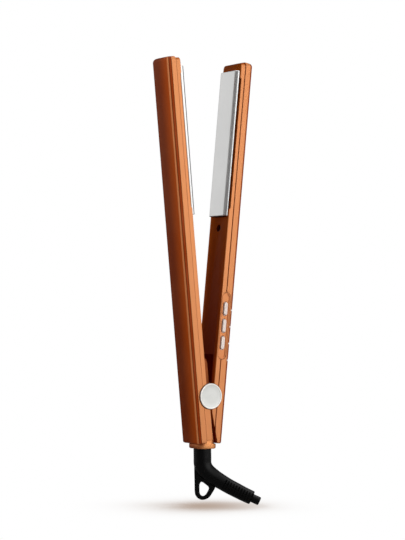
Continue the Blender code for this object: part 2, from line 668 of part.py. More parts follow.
cut(boot, rod((deep_end[0], 0, deep_end[1]), (past[0], 0, past[1]), CORD_RADIUS + 0.1, 20))
cut(boot, rod((0, 0, boot_top + 2.0), (0, 0, boot_top - 7.0), SPIGOT_RADIUS + 0.1, 32))
finish(boot, "cord_boot", RUBBER, boot_axis)
inner = (tip[0] - ahead[0] * 13.8, tip[1] - ahead[1] * 13.8)
shown = (tip[0] + ahead[0] * CORD_SHOWN, tip[1] + ahead[1] * CORD_SHOWN)
stub = rod((inner[0], 0, inner[1]), (shown[0], 0, shown[1]), CORD_RADIUS, 20)
finish(stub, "cord_stub", CORD, boot_axis)
seat = SWIVEL_SEAT
spigot = rod((0, 0, boot_top - 6.8), (0, 0, seat + 2.6), SPIGOT_RADIUS, 32)
add(spigot, rod((0, 0, seat + 0.4), (0, 0, seat + 1.8), SPIGOT_RADIUS + 1.0, 32))
cut(spigot, rod((0, 0, seat + 5.0), (0, 0, boot_top - 5.0), 1.8, 16))
finish(spigot, "swivel_spigot", NYLON, boot_axis)

# The whole iron stands upright, centred over the origin, with its lowest point at height zero.
bpy.context.view_layer.update()
lows = [1e9, 1e9, 1e9]
highs = [-1e9, -1e9, -1e9]
for obj in bpy.data.objects:
    if obj.type == "MESH":
        for v in obj.data.vertices:
            spot = obj.matrix_world @ v.co
            lows = [min(a, b) for a, b in zip(lows, spot)]
            highs = [max(a, b) for a, b in zip(highs, spot)]
root.location = (-(lows[0] + highs[0]) / 2, -(lows[1] + highs[1]) / 2, -lows[2])
bpy.context.view_layer.update()
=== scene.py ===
"""Looks of the slim copper hair iron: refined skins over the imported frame, finishes, light and camera."""
import json
import math

import bmesh
import bpy
import numpy as np
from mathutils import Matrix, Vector


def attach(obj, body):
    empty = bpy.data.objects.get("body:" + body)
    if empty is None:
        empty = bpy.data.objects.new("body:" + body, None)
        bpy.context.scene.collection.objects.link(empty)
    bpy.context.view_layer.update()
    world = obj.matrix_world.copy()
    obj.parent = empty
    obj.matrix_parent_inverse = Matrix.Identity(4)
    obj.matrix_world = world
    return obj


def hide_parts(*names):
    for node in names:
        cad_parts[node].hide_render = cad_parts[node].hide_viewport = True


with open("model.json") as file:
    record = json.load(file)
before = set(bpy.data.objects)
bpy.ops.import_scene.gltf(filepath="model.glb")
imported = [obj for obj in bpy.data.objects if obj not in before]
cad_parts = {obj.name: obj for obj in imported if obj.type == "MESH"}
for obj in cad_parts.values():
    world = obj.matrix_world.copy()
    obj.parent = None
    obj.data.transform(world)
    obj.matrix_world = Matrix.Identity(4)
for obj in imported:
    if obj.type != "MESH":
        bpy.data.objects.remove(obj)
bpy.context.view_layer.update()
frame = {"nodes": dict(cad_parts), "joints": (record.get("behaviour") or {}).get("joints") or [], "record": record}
joints = {joint["name"]: joint for joint in frame["joints"]}

# Sizes in millimetres. Heights run along an arm from the hinge axis. Where the arms differ, -1 is the fixed
# arm, on the left, and 1 the moving arm.
MM = 0.001
ARM_ABOVE = 253.6
ARM_BELOW = 34.4
TIP = ARM_ABOVE - 0.02
TIP_LONG = 3.1
TIP_WIDE = 3.3
TIP_DEEP = 2.2
LINER_END = ARM_ABOVE - 3.0
HALF = 12.3
BACK_AT_TAIL = 13.6
BACK_AT_TIP = 12.6
SEAM = 6.4
INNER_FACE = 2.4
WALL = 1.5
CROWN = 0.25
COVER_EDGE = {-1: SEAM - 0.15, 1: SEAM + 0.4}
COVER_LIP = {-1: 0.15, 1: 0.4}
COVER_STOP = {-1: 2.45, 1: 2.4}
COVER_PROUD = {-1: (-0.6, -0.04), 1: (0.2, 0.48)}
BAND_SCALE = {-1: 1.0, 1: 0.7}
BAND_LINE = np.array([(2.1, 0.55), (1.5, 0.66)])
BEAD_IN = 0.64
BEAD_FROM_SIDE = 2.48
BEAD_SIZE = (0.65, 1.7)
SHOULDER = 0.12
TONGUE_REACH = {-1: 0.0, 1: 1.1}
TONGUE_THICK = 0.3
TONGUE_GAP = 0.1
TONGUE_FADE = (-22.0, -18.0)
TAIL_LONG = 1.3
TAIL_WIDE = 0.9
TAIL_DEEP = 1.08
PLATE_LENGTH = 110.5
PLATE_HALF = 11.8
PLATE_HIGH = ARM_ABOVE - 7.5
PLATE_LOW = PLATE_HIGH - PLATE_LENGTH
PLATE_TOP = 0.1
SCREW_AT = PLATE_LOW - 8.6
SCREW_SEAT = 2.6
SCREW_DEEP = 4.0
PLATE_TILT = math.radians(0.28)
BEVEL_WIDE = 3.0
BEVEL_DEEP = 1.1
BEVEL_CURVE = 1.6
PLATE_UNDER = {-1: 2.8, 1: 1.5}
EDGE_SOFT = 0.6
EDGE_ROUND = 0.9
CAP_RADIUS = 9.9
CAP_FACE = 9.5
CAP_NEAR = HALF + 0.3
CAP_FAR = CAP_NEAR + 0.9
CAP_FOOT = CAP_NEAR + 0.25
CAP_RIM = 0.3
PILL_DEPTH = 7.0
PILL_MID = 53.3
PILL_LONG = 50.6
PILL_WIDE = 7.7
BUTTON_LONG = 10.0
BUTTON_WIDE = 3.3
BUTTON_PITCH = 12.8
BUTTON_FLANGE = 0.8
BUTTON_ROUND = 0.9
BUTTON_EDGE = -0.35
BUTTON_CROWN = 0.75
LENS_TOP = 65.5
LENS_PITCH = 12.5
LENS_RADIUS = 0.9
LENS_DOME = 0.4
WEDGE_FROM = -10.2
WEDGE_SLOPE = 0.305
FLANGE_TOP = -ARM_BELOW - 1.4
FLANGE_LOW = FLANGE_TOP - 3.5
FLANGE_ROLL = 1.1
COLLAR_HALF_X = 8.3
COLLAR_HALF_Y = HALF - 2.3
COLLAR_CORNER = 6.4
BOOT_TOP = FLANGE_LOW - 0.3
BOOT_RADIUS = 6.65
CORD_RADIUS = 3.2
CORD_SHOWN = 6.2
CORD_BORE = CORD_RADIUS + 0.12
BOOT_END = 0.6
LOOP_HALF = 1.2
CAD_EDGE = 0.15

PIVOT = np.array(joints["arm_hinge"]["pos_m"])
SWIVEL = np.array(joints["cord_swivel"]["pos_m"])
LEAN = {-1: math.asin(-joints["fixed_plate_press"]["axis"][2]),
        1: math.asin(-joints["moving_plate_press"]["axis"][2])}
BOOT_TURN = math.radians(-33.0)
ARM_NAME = {-1: "fixed", 1: "moving"}

# The camera looks almost level from a little below the object's middle, so that the left arm shows its back.
VIEW_TURN = math.radians(33.0)
VIEW_FROM = 1.41
PIXEL = 0.00075
IMAGE_HIGH = 540
IMAGE_WIDE = 405
PIVOT_AT = (201.5, 395.5)
HORIZON_AT = 308.0
SENSOR = 36.0
AHEAD = np.array([math.sin(VIEW_TURN), math.cos(VIEW_TURN), 0.0])
RIGHT = np.array([math.cos(VIEW_TURN), -math.sin(VIEW_TURN), 0.0])

# Levels of the surroundings, and the floor's shade in metres.
PANEL_BEHIND = 0.84
PANEL_BEFORE = 1.7
PANEL_ABOVE = 2.4
PANEL_FADE = (0.62, 0.95)
WORLD_LIGHT = 0.12
ROOM_LIGHT = 0.18
LIGHT_AIM = 0.18
FLOOR_HALF = 3.0
FLOOR_DROP = 0.0005
SHADE_REACH = 0.30
SHADE_SPREAD = 0.05

# Where the copper's painted light and shade begin and end: millimetres past the arm's side, or metres
# above the hinge.
GLINT_FADE = (-4.2, -2.5)
BAND_SHADE_FADE = (-1.95, -1.05)
LIT_SIDE_FADE = (-0.38, -0.1)
HINGE_SHADE_FADE = (0.02, 0.125)


def on_arm(side, u, y, z):
    """Points of an arm in the row frame: u is the distance from the hinge plane towards the arm's back,
    y runs along the hinge axis and z along the arm, all turned by the arm's lean about the hinge axis."""
    lean = LEAN[side]
    u, y, z = np.broadcast_arrays(u, y, z)
    x = side * (u * math.cos(lean) + z * math.sin(lean))
    up = z * math.cos(lean) - u * math.sin(lean)
    return np.stack([x, y, up], -1) * MM + PIVOT


def on_boot(x, y, z):
    """Points of the boot in the row frame: x runs along the bend and y across it, both turned about the
    swivel axis."""
    x, y, z = np.broadcast_arrays(x, y, z)
    c = math.cos(BOOT_TURN)
    s = math.sin(BOOT_TURN)
    at = np.array([SWIVEL[0], SWIVEL[1], PIVOT[2]])
    return np.stack([x * c - y * s, x * s + y * c, z], -1) * MM + at


def skin(name, sheets, body, nodes, finish, sharp=35.0):
    """One closed piece from grids of points. Each grid is an array of rows by columns by 3; a grid whose
    flag is set closes round its columns. Doubled points are merged and the faces turned outwards."""
    points = []
    faces = []
    start = 0
    for grid, closed in sheets:
        rows, cols = grid.shape[:2]
        index = np.arange(rows * cols).reshape(rows, cols) + start
        right = np.roll(index, -1, 1) if closed else index[:, 1:]
        left = index if closed else index[:, :-1]
        quads = np.stack([left[:-1], right[:-1], right[1:], left[1:]], -1)
        faces.append(quads.reshape(-1, 4))
        points.append(grid.reshape(-1, 3))
        start += rows * cols
    mesh = bpy.data.meshes.new(name)
    mesh.from_pydata(np.concatenate(points).tolist(), [], np.concatenate(faces).tolist())
    return settle(mesh, name, body, nodes, finish, sharp)


def settle(mesh, name, body, nodes, finish, sharp=35.0):
    """Merge a mesh's doubles, turn its faces outwards, shade it and hang it on its body."""
    bm = bmesh.new()
    bm.from_mesh(mesh)
    bmesh.ops.remove_doubles(bm, verts=bm.verts, dist=2e-7)
    bmesh.ops.dissolve_degenerate(bm, dist=1e-8, edges=bm.edges)
    bmesh.ops.recalc_face_normals(bm, faces=bm.faces)
    bm.to_mesh(mesh)
    bm.free()
    mesh.shade_smooth()
    mesh.set_sharp_from_angle(angle=math.radians(sharp))
    mesh.materials.clear()
    mesh.materials.append(finish)
    obj = bpy.data.objects.new(name, mesh)
    bpy.context.scene.collection.objects.link(obj)
    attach(obj, body)
    if nodes:
        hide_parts(*nodes)
    return obj


def capped(grid):
    """A grid whose columns close, with its first and last rows drawn to their middles."""
    first = np.broadcast_to(grid[:1].mean(1, keepdims=True), grid[:1].shape)
    last = np.broadcast_to(grid[-1:].mean(1, keepdims=True), grid[-1:].shape)
    return np.concatenate([first, grid, last])


def even(points, count):
    """A line of points drawn again with evenly spread points along its length."""
    points = np.asarray(points, float)
    step = np.hypot(*np.diff(points, axis=0).T)
    run = np.concatenate([[0.0], np.cumsum(step)])
    at = np.linspace(0, run[-1], count)
    return np.stack([np.interp(at, run, points[:, k]) for k in (0, 1)], -1)


def smooth_line(points, count):
    """A smooth line through points: a Catmull-Rom curve, sampled evenly."""
    p = np.asarray(points, float)
    p = np.concatenate([[2 * p[0] - p[1]], p, [2 * p[-1] - p[-2]]])
    s = np.linspace(0, 1, 24, endpoint=False)[:, None]
    runs = []
    for a, b, c, d in zip(p[:-3], p[1:-2], p[2:-1], p[3:]):
        second = 2 * a - 5 * b + 4 * c - d
        third = 3 * b - a - 3 * c + d
        runs.append(b + 0.5 * ((c - a) * s + second * s ** 2 + third * s ** 3))
    runs.append(p[-2:-1])
    return even(np.concatenate(runs), count)


def cut_away(obj, cutter):
    """Cut a closed piece out of another, and drop it."""
    mod = obj.modifiers.new("cut", "BOOLEAN")
    mod.operation = "DIFFERENCE"
    mod.solver = "EXACT"
    mod.object = cutter
    graph = bpy.context.evaluated_depsgraph_get()
    mesh = bpy.data.meshes.new_from_object(obj.evaluated_get(graph))
    obj.modifiers.clear()
    obj.data = mesh
    bpy.data.objects.remove(cutter)
    mesh.shade_smooth()
    mesh.set_sharp_from_angle(angle=math.radians(35.0))


class Value:
    """A shader socket that takes part in Python arithmetic: each operation adds one Math node."""

    def __init__(self, graph, socket):
        self.graph = graph
        self.socket = socket

    def math(self, operation, other=0.0, swap=False):
        """A Math node on this value and another one, or on the two the other way round."""
        pair = (other, self) if swap else (self, other)
        return self.graph.node("ShaderNodeMath", {"operation": operation}, {0: pair[0], 1: pair[1]})

    def __add__(self, other):
        return self.math("ADD", other)

    __radd__ = __add__

    def __mul__(self, other):
        return self.math("MULTIPLY", other)

    __rmul__ = __mul__

    def __sub__(self, other):
        return self.math("SUBTRACT", other)

    def __rsub__(self, other):
        return self.math("SUBTRACT", other, True)

    def __truediv__(self, other):
        return self.math("DIVIDE", other)

    def __rtruediv__(self, other):
        return self.math("DIVIDE", other, True)


class Graph:
    """A shader node tree that is added to one node at a time."""

    def __init__(self, tree):
        self.tree = tree

    def node(self, kind, settings, sockets, out=0):
        """Add a node, set its settings first and then its sockets, and give back one of its outputs."""
        made = self.tree.nodes.new(kind)
        for key, value in settings.items():
            setattr(made, key, value)
        for key, value in sockets.items():
            self.join(made.inputs[key], value)
        return Value(self, made.outputs[out])

    def join(self, socket, value):
        """Link a value into a socket, or set the socket to a constant."""
        if isinstance(value, Value):
            self.tree.links.new(value.socket, socket)
        else:
            socket.default_value = value

    def ramp(self, value, low, high, low_out=0.0, high_out=1.0):
        """A smooth step of a value from one level to another."""
        sockets = {"Value": value, "From Min": low, "From Max": high, "To Min": low_out, "To Max": high_out}
        return self.node("ShaderNodeMapRange", {"interpolation_type": "SMOOTHSTEP"}, sockets)

    def mix(self, share, a, b):
        """A colour between two colours."""
        return self.node("ShaderNodeMix", {"data_type": "RGBA"}, {0: share, 6: a, 7: b}, 2)


class Finish(Graph):
    """A material with one Principled shader, built from constants and from varying values."""

    def __init__(self, name, **constants):
        self.material = bpy.data.materials.new(name)
        self.material.use_nodes = True
        super().__init__(self.material.node_tree)
        self.shader = self.tree.nodes["Principled BSDF"]
        for key, value in constants.items():
            self.shader.inputs[key.replace("_", " ")].default_value = value
        self.place = self.node("ShaderNodeTexCoord", {}, {}, "Object")

    def feed(self, name, value):
        """Let a varying value reach one of the shader's sockets."""
        self.join(self.shader.inputs[name], value)

    def stretched(self, scale):
        """Object coordinates drawn out by a scale for each axis."""
        return self.node("ShaderNodeMapping", {}, {"Vector": self.place, "Scale": scale})

    def noise(self, scale, detail=2.0, vector=None):
        """Smooth noise over the place on the piece."""
        where = vector or self.place
        return self.node("ShaderNodeTexNoise", {}, {"Vector": where, "Scale": scale, "Detail": detail})

    def axis(self, letter):
        """One coordinate of the place on the piece."""
        return self.node("ShaderNodeSeparateXYZ", {}, {0: self.place}, letter)

    def bump(self, height, strength, distance):
        """Fine relief from a height value."""
        sockets = {"Height": height, "Strength": strength, "Distance": distance}
        self.feed("Normal", self.node("ShaderNodeBump", {}, sockets))


def colour(code):
    """A hex colour as linear components with full alpha."""
    parts = []
    for k in (0, 2, 4):
        c = int(code[k:k + 2], 16) / 255
        parts.append(c / 12.92 if c <= 0.04045 else ((c + 0.055) / 1.055) ** 2.4)
    return (*parts, 1.0)


def copper_finish(name, bright, band, bead, front_shade_tone, back_shade_tone, low=None, metal=0.3):
    """Metallic copper lacquer in painted light and shade: a pale lit tone on the side faces, a band of
    painted shade and a bead with a painted highlight on the near side along their outer edges, and on the
    broad faces a shaded tone that darkens from front to back and, if a low tone is given, painted shade
    towards the hinge and in the screw's seat; fine flakes, a slow drift, and a faint red glow, painted light
    that stands in for the light caught in the gaps."""
    # Painted light: a faint red glow on all the copper stands in for the light caught in the gaps.
    glow = colour("B02000")
    f = Finish(name, Metallic=metal, Specular_IOR_Level=0.01, Emission_Strength=0.03, Emission_Color=glow)
    across = f.axis("Y") - float(PIVOT[1])
    up = f.axis("Z") - float(PIVOT[2])
    aside = (f.axis("X") - float(PIVOT[0])).math("ABSOLUTE")
    along = (up * math.cos(LEAN[1]) + aside * math.sin(LEAN[1])) / MM
    near_tip = ((along - (TIP - TIP_LONG)) / TIP_LONG).math("MAXIMUM", 0.0).math("MINIMUM", 1.0)
    inset = TIP_WIDE * (1.0 - (1.0 - near_tip * near_tip).math("SQRT"))
    out = across.math("ABSOLUTE") / MM - HALF + inset
    flake = f.noise(5200.0, 1.0)
    drift = f.noise(22.0, 3.0)
    # Painted shade: the broad faces take shaded copies of the copper, darker from front to back as the light
    # falls.
    tone = f.mix(f.ramp(across, -HALF * MM, 0.4 * HALF * MM), colour(front_shade_tone), colour(back_shade_tone))
    if low:
        # Painted shade: darker towards the hinge, where the arms shade each other.
        tone = f.mix(f.ramp(up, *HINGE_SHADE_FADE), colour(low), tone)
        # Painted shade: a near black spot in the screw's seat, where its recess lies in shade.
        rise = up / MM - (SCREW_AT * math.cos(LEAN[1]) - SCREW_DEEP * math.sin(LEAN[1]))
        away = (rise * rise + across * across / MM ** 2).math("SQRT")
        tone = f.mix(f.ramp(away, SCREW_SEAT + 0.2, SCREW_SEAT), tone, colour("0C0301"))
    # Painted highlight: a light stripe along the bead, on the near side only, where the light falls.
    glint = f.ramp(out, *GLINT_FADE) * f.ramp(across, 0.3 * HALF * MM, -0.3 * HALF * MM)
    tone = f.mix(glint, tone, colour(bead))
    # Painted shade: a dark band between the side face and the bead.
    tone = f.mix(f.ramp(out, *BAND_SHADE_FADE), tone, colour(band))
    # Painted light: the side faces, which face the light, take a pale lit copy of the copper.
    on_side = f.ramp(out, *LIT_SIDE_FADE)
    tone = f.mix(on_side, tone, colour(bright))
    if low:
        f.feed("Metallic", on_side * metal)
    lighter = f.mix(f.ramp(drift, 0.35, 0.7) * 0.05, tone, colour("E8A070"))
    f.feed("Base Color", f.mix(f.ramp(flake, 0.55, 0.75) * 0.05, lighter, colour("FFC898")))
    f.feed("Roughness", 0.36 + flake * 0.12)
    f.bump(flake, 0.05, 0.00004)
    return f.material


def plate_finish(name, side=0):
    """Satin grey plate coating with fine grinding lines along the plate. For a plate on a given side a dim
    line of painted shade follows its rounded edge, where the depth below the leaning face is about that
    of the bevel."""
    f = Finish(name, Metallic=0.92, Specular_IOR_Level=0.5)
    lines = f.noise(1.0, 3.0, f.stretched((6000.0, 6000.0, 60.0)))
    cloud = f.noise(35.0, 2.0)
    tone = f.mix(cloud, colour("D4D4D3"), colour("DEDEDD"))
    if side:
        x = (f.axis("X") - float(PIVOT[0])) * (side / MM)
        up = (f.axis("Z") - float(PIVOT[2])) / MM
        u = x * math.cos(LEAN[side]) - up * math.sin(LEAN[side])
        z = x * math.sin(LEAN[side]) + up * math.cos(LEAN[side])
        depth = u + z * math.tan(PLATE_TILT) - PLATE_TOP
        # Painted shade: a dark line along the rounded edge.
        line = f.ramp(depth, 0.5, 0.7) * f.ramp(depth, 2.2, 1.9)
        tone = f.mix(line, tone, colour("1E1D1C"))
    f.feed("Base Color", tone)
    f.feed("Roughness", 0.30 + lines * 0.10)
    f.bump(lines, 0.04, 0.00003)
    return f.material


def silver_finish(name, dark, light, metal):
    """Satin silver with a soft mottle."""
    f = Finish(name, Metallic=metal, Specular_IOR_Level=0.3)
    grain = f.noise(2600.0, 2.0)
    cloud = f.noise(180.0, 2.0)
    f.feed("Base Color", f.mix(cloud, colour(dark), colour(light)))
    f.feed("Roughness", 0.34 + grain * 0.12)
    f.bump(grain, 0.04, 0.00003)
    return f.material


def cap_finish():
    """Satin silver disc: a lighter rim round its face and a painted shadow line where its foot meets the arm."""
    f = Finish("cap_silver", Metallic=0.25, Specular_IOR_Level=0.3)
    x = f.axis("X") - float(PIVOT[0])
    z = f.axis("Z") - float(PIVOT[2])
    r = (x * x + z * z).math("SQRT") / MM
    grain = f.noise(2600.0, 2.0)
    face = f.mix(f.noise(180.0, 2.0), colour("D2D2CE"), colour("DCDCD8"))
    face = f.mix(f.ramp(r, CAP_FACE - 1.3, CAP_FACE - 0.9), face, colour("F2EEE8"))
    # Painted shadow: the dark line round the face's edge stands in for the shadow in the gap between cap and arm.
    f.feed("Base Color", f.mix(f.ramp(r, CAP_FACE - 0.02, CAP_FACE + 0.06), face, colour("43200F")))
    f.feed("Roughness", 0.34 + grain * 0.12)
    f.bump(grain, 0.04, 0.00003)
    return f.material


def rubber_finish(name, dark, light):
    """Matt moulded rubber with a fine spark texture."""
    f = Finish(name, Specular_IOR_Level=0.17)
    spark = f.noise(3200.0, 3.0)
    cloud = f.noise(90.0, 2.0)
    f.feed("Base Color", f.mix(cloud, colour(dark), colour(light)))
    f.feed("Roughness", 0.24 + spark * 0.14)
    f.bump(spark, 0.08, 0.00005)
    return f.material


def plain_finish(name, dark, light, rough, metal=0.0):
    """A working part's finish: two close tones in a fine mottle."""
    f = Finish(name, Metallic=metal)
    grain = f.noise(1500.0, 2.0)
    f.feed("Base Color", f.mix(grain, colour(dark), colour(light)))
    f.feed("Roughness", rough - 0.08 + grain * 0.16)
    f.bump(grain, 0.05, 0.00004)
    return f.material


# Copper in painted light and shade: the tones are the lit side, the painted shade of the band, the painted
# highlight of the bead, and the shaded front and back of the broad faces.
copper = copper_finish("copper_lacquer", "D08858", "80300A", "FFA468", "CD580D", "7D330E")
# On the moving arm the painted highlight along the bead is dimmer.
copper_moving = copper_finish("copper_moving", "D08858", "80300A", "A0501E", "CD580D", "7D330E")
# The frame's copy adds painted shade towards the hinge and in the screw's seat.
copper_frame = copper_finish("copper_frame", "D08858", "B25712", "AF5511", "AF5511", "94450F", "833A10")
# The bezel's copper darkens towards its back: painted shade.
copper_trim = copper_finish("copper_trim", "D08858", "D08858", "D08858", "D08858", "C07440")
# The collar's copper darkens towards its back: painted shade.
copper_collar = copper_finish("copper_collar", "E09860", "E09860", "E09860", "D08450", "8C4A26", None, 0.7)
# Painted shade: the hinge block takes a dark copy of the copper, for where it sits in shade between the arms.
shaded_copper_block = copper_finish("shaded_copper_block", "8C4A26", "8C4A26", "8C4A26", "8C4A26", "5C2A12")
plate_metal = plate_finish("plate_satin")
# The fixed plate carries the painted shade line along its edge.
fixed_plate_metal = plate_finish("plate_satin_fixed", -1)
cap_silver = cap_finish()
button_silver = silver_finish("button_silver", "CFBFB7", "E4D7CF", 0.2)
lens_white = silver_finish("lens_white", "F2EEE8", "FBF8F4", 0.0)
rubber = rubber_finish("boot_rubber", "010101", "040404")
sheath = rubber_finish("cord_sheath", "030303", "060606")
steel = plain_finish("turned_steel", "8C8C8E", "A4A4A6", 0.35, 1.0)
# Painted shade: the screw is near black so that it reads as the shade in its seat.
seat_shade_steel = plain_finish("screw_steel_in_painted_shade", "1C1815", "2A2420", 0.4, 1.0)
ceramic = plain_finish("heater_ceramic", "DDD8CE", "ECE8E0", 0.6)
heat_plastic = plain_finish("heat_plastic", "1A1817", "242120", 0.55)
silicone = plain_finish("silicone_red", "AC4034", "C05040", 0.6)
board = plain_finish("board_green", "1B5233", "24633F", 0.5)
insulation = plain_finish("wire_insulation", "D0CABE", "DED9CE", 0.5)
nylon = plain_finish("natural_nylon", "D8D3C8", "E6E2D8", 0.5)
SLOT_FINISH = {
    "copper_paint": copper, "satin_plate": plate_metal, "silver_cap": cap_silver,
    "button_silver": button_silver, "lens_white": lens_white, "black_rubber": rubber,
    "cord_black": sheath, "steel": steel, "ceramic": ceramic, "heat_plastic": heat_plastic,
    "silicone": silicone, "board_green": board, "lead_insulation": insulation, "nylon": nylon,
}
for part in frame["record"]["subparts"]:
    node = frame["nodes"][part["node"]]
    node.data.materials.clear()
    node.data.materials.append(SLOT_FINISH[part["material_slot"]])


def back_depth(z):
    """Distance of an arm's back from the hinge plane at a height along the arm."""
    return BACK_AT_TAIL + (BACK_AT_TIP - BACK_AT_TAIL) * (z + ARM_BELOW) / (ARM_ABOVE + ARM_BELOW)


def arc(cu, cy, ru, ry, start, end, count):
    """Part of an ellipse about a centre, angles in degrees from the back's direction towards the side."""
    t = np.radians(np.linspace(start, end, count))
    return np.stack([cu + ru * np.cos(t), cy + ry * np.sin(t)], -1)


def cover_half(side, seam, b, h):
    """Half a section of a back cover, from its seam edge to the middle of its back: a rounded lip, a flat
    side that stops before the back, a small step down to a narrow band, an elliptic bead beside it and the
    slightly crowned back, where the depth falls with the square of the distance from the middle."""
    lip = COVER_LIP[side]
    stop = COVER_STOP[side]
    k = BAND_SCALE[side]
    edge = arc(seam + lip, h - lip, lip, lip, 180, 90, 4)
    flank = np.stack([np.linspace(seam + lip, b - stop, 6)[1:-1], np.full(4, h)], -1)
    shoulder = arc(b - stop, h - SHOULDER, SHOULDER, SHOULDER, 90, 35, 3)
    band = np.array([b, h]) - BAND_LINE * k
    middle = (b - CROWN - BEAD_IN * k, h - BEAD_FROM_SIDE * k)
    bead = arc(*middle, BEAD_SIZE[0] * k, BEAD_SIZE[1] * k, 92, 8, 14)
    y = np.linspace(bead[-1, 1], 0.0, 10)[1:]
    crown = np.stack([b - CROWN * (y / bead[-1, 1]) ** 2, y], -1)
    return np.concatenate([edge, flank, shoulder, band, bead, crown])


def liner_half(seam, tongue, b, h, count):
    """Half a section of a cover's inside, with as many points as its outside: a thin tongue that reaches past
    the seam behind the frame's wall, then the lining with its corner cut off."""
    outside = h - TONGUE_GAP
    inside = outside - TONGUE_THICK
    tip = [(seam, outside), (seam - tongue, outside), (seam - tongue, inside)]
    lining = [(seam, inside), (b - 1.2, inside), (b, inside - 1.2), (b, 0.0)]
    return np.concatenate([tip, even(lining, count - len(tip))])


def both_sides(half):
    """A half section and its mirror image, from the near seam over the back to the far seam."""
    near = half * np.array([1.0, -1.0])
    return np.concatenate([near, half[-2::-1]])


def back_cover(side):
    """A back cover as a double hull: an outer skin of sections along the arm that round over at tail and tip,
    an inner skin a wall's thickness inside, and the rims between them along the seam and at the tail."""
    turn = np.radians(np.linspace(0, 90, 7))
    tail_in = 1 - np.sin(turn)
    tip_in = 1 - np.cos(turn)
    tail = -ARM_BELOW + TAIL_LONG * (1 - np.cos(turn))
    middle = np.linspace(-ARM_BELOW + 3.0, ARM_ABOVE - 4.0, 60)
    tip = TIP - TIP_LONG * (1 - np.sin(turn))
    straight = np.zeros_like(middle)
    heights = np.concatenate([tail, middle, tip])
    slim = np.concatenate([TAIL_WIDE * tail_in, straight, TIP_WIDE * tip_in])
    thin = np.concatenate([TAIL_DEEP * tail_in, straight, TIP_DEEP * tip_in])
    tongues = np.interp(heights, TONGUE_FADE, (0.0, TONGUE_REACH[side]))
    outer = []
    inner = []
    for z, w, d, tongue in zip(heights, slim, thin, tongues):
        edge = COVER_EDGE[side]
        if side > 0:
            edge = max(edge, INNER_FACE + WEDGE_SLOPE * (WEDGE_FROM - z))
        proud = np.interp(z, (-ARM_BELOW, ARM_ABOVE), COVER_PROUD[side])
        half = cover_half(side, edge, back_depth(z) + proud - d, HALF - w)
        depth = max(back_depth(z) - WALL, edge + 1.4)
        lining = liner_half(edge, tongue, depth, HALF - WALL, len(half))
        whole = both_sides(half)
        outer.append(on_arm(side, whole[:, 0], whole[:, 1], z))
        whole = both_sides(lining)
        inner.append(on_arm(side, whole[:, 0], whole[:, 1], min(z, LINER_END)))
    outer = np.stack(outer)
    inner = np.stack(inner)
    shrink = np.linspace(1, 0, 8)[1:, None, None]
    outer_end = on_arm(side, SEAM, 0.0, TIP)
    inner_end = on_arm(side, SEAM, 0.0, LINER_END)
    outer = np.concatenate([outer, outer_end + (outer[-1:] - outer_end) * shrink])
    inner = np.concatenate([inner, inner_end + (inner[-1:] - inner_end) * shrink])
    rims = [np.stack([outer[:, k], inner[:, k]], 1) for k in (0, -1)]
    tail_rim = np.stack([outer[0], inner[0]])
    sheets = [(sheet, False) for sheet in (outer, inner, *rims, tail_rim)]
    name = ARM_NAME[side] + "_back_cover"
    finish = copper_moving if side > 0 else copper
    return skin(name + "_skin", sheets, ARM_NAME[side] + "_arm", [name], finish, 28.0)


def stadium(long, wide, count):
    """A slot outline about its middle: two straight runs and two half rounds, as (across, along) points."""
    r = wide / 2
    rise = long / 2 - r
    top = np.linspace(0, math.pi, count)
    round_end = np.stack([r * np.cos(top), rise + r * np.sin(top)], -1)
    return np.concatenate([round_end, -round_end])


def pill_cutter():
    """A slot-shaped cutter for the button panel: its outline carried across the moving arm's near wall."""
    outline = stadium(PILL_LONG, PILL_WIDE, 16)
    rows = []
    for y in (-HALF - 1.0, -HALF + WALL + 0.6):
        rows.append(on_arm(1, PILL_DEPTH + outline[:, 0], y, PILL_MID + outline[:, 1]))
    grid = capped(np.stack(rows))
    return skin("pill_cutter", [(grid, True)], "moving_arm", [], copper)


def hot_plate(side):
    """A hot plate: one section carried along the plate, a flat face that leans in towards the tip, a bevel
    whose depth grows with a power of the distance, and an elliptic edge; both ends are eased."""
    name = ARM_NAME[side] + "_plate"
    ease = np.array([0.4, 0.15, 0.0])
    low = np.array([0.0, 0.12, 0.4])
    heights = np.concatenate([PLATE_LOW + low, PLATE_HIGH - low[::-1]])
    flat = np.linspace(0, PLATE_HALF - BEVEL_WIDE - 0.5, 6)
    bend = np.linspace(0, 1, 7)
    bevel = (BEVEL_WIDE - EDGE_SOFT) * (1 - bend)
    low_edge = PLATE_UNDER[side]
    rows = []
    for z, e in zip(heights, np.concatenate([ease, ease[::-1]])):
        h = PLATE_HALF - e
        face = PLATE_TOP - z * math.tan(PLATE_TILT) + e
        top = np.stack([np.full(6, face), flat], -1)
        slope = np.stack([face + BEVEL_DEEP * bend ** BEVEL_CURVE, h - EDGE_SOFT - bevel], -1)
        edge = arc(face + BEVEL_DEEP + EDGE_ROUND, h - EDGE_SOFT, -EDGE_ROUND, EDGE_SOFT, 20, 90, 7)
        under = [(low_edge, h), (low_edge, h * 0.5), (low_edge, 0.0)]
        half = np.concatenate([top, slope, edge, under])
        loop = np.concatenate([half * np.array([1.0, -1.0]), half[-2:0:-1]])
        rows.append(on_arm(side, loop[:, 0], loop[:, 1], z))
    grid = capped(np.stack(rows))
    finish = plate_metal if side > 0 else fixed_plate_metal
    skin(name + "_face", [(grid, True)], name + "_float", [name], finish, 15.0)


